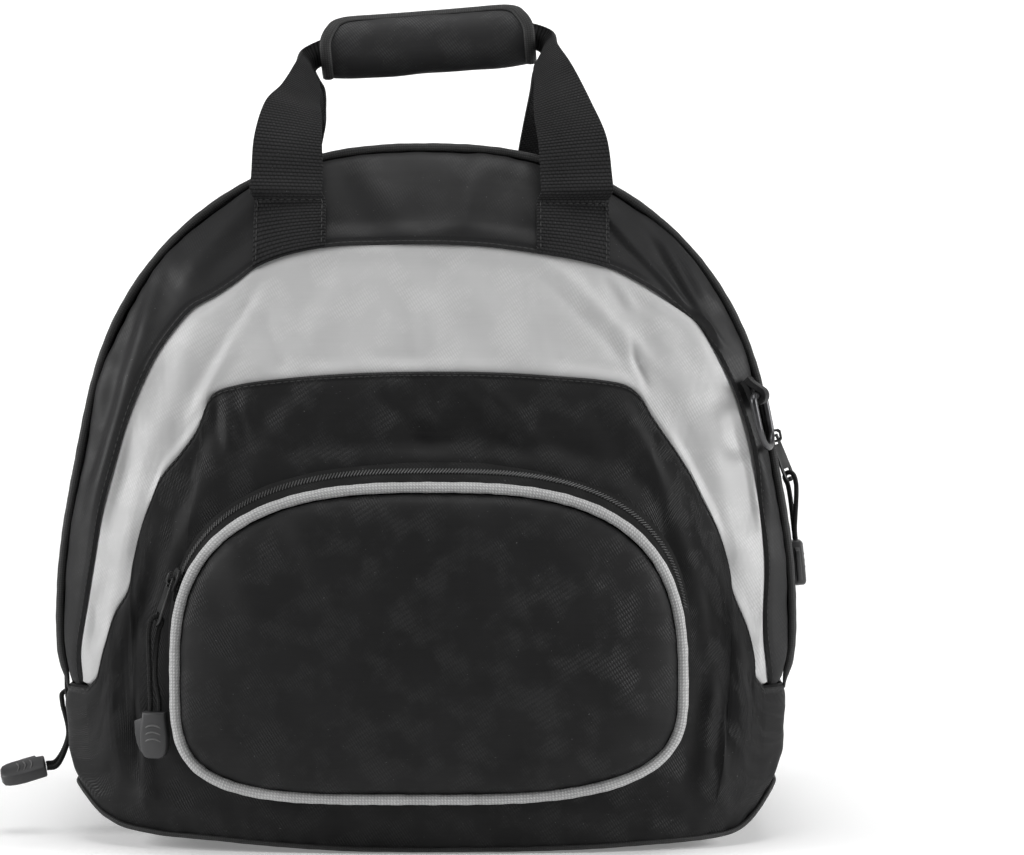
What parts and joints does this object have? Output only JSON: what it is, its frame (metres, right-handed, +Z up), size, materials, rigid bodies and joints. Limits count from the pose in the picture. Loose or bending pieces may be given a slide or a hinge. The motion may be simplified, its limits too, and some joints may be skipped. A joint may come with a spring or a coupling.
{
  "type": "motorcycle helmet bag",
  "caption": "Soft dome-shaped motorcycle helmet bag with a padded carry handle, wrap-round zip, curved contrast panel, zipped front pocket and strap rings.",
  "frame": {"origin": "middle of the flat part of the base, on the surface that the bag stands on", "axes": "+X to the right of someone facing the pocket, -Y out of the front, +Z up"},
  "size_m": [0.4298, 0.298, 0.4444],
  "materials": {
    "black_cloth": "coated woven polyester",
    "charcoal_cloth": "coated woven polyester",
    "grey_cloth": "silvery woven polyester",
    "black_webbing": "ribbed webbing",
    "black_piping": "woven tape over cord",
    "grey_piping": "woven tape over cord",
    "zip_chain": "nylon coil on woven tape",
    "black_metal": "black painted",
    "dark_steel": "gunmetal plated",
    "black_cord": "braided cord",
    "black_plastic": "satin moulded"
  },
  "bodies": {
    "bag": {"front_upper_panel": "charcoal_cloth", "front_grey_panel": "grey_cloth", "front_lower_panel": "black_cloth", "gusset_front_strip": "charcoal_cloth", "gusset_rear_strip": "charcoal_cloth", "main_zipper": "zip_chain", "back_panel": "black_cloth", "base_panel": "black_cloth", "rim_piping": "black_piping", "back_piping": "black_piping", "base_piping": "black_piping", "pocket_face": "black_cloth", "pocket_gusset": "black_cloth", "pocket_zipper": "zip_chain", "pocket_piping": "grey_piping", "handle_strap_front": "black_webbing", "handle_strap_rear": "black_webbing", "handle_grip": "black_cloth", "grip_binding": "black_webbing", "d_ring_tab_right": "black_webbing", "d_ring_tab_left": "black_webbing", "main_right_slider": "black_metal", "main_right_puller": "black_metal", "main_right_pull_cord": "black_cord", "main_right_cord_end": "black_plastic", "main_left_slider": "black_metal", "main_left_puller": "black_metal", "main_left_pull_cord": "black_cord", "main_left_cord_end": "black_plastic", "pocket_slider": "black_metal", "pocket_puller": "black_metal", "pocket_pull_cord": "black_cord", "pocket_cord_end": "black_plastic"},
    "d_ring_right": {"d_ring_right": "dark_steel"},
    "d_ring_left": {"d_ring_left": "dark_steel"}
  },
  "joints": [
    {"name": "strap_ring_right_swing", "type": "hinge", "parent": "bag", "child": "d_ring_right", "pos_m": [0.1733, -0.1069, 0.233], "axis": [-0.309, -0.9511, 0], "range_deg": [0, 150]},
    {"name": "strap_ring_left_swing", "type": "hinge", "parent": "bag", "child": "d_ring_left", "pos_m": [-0.166, 0.1029, 0.233], "axis": [0.9613, 0.2756, 0], "range_deg": [0, 150]}
  ]
}
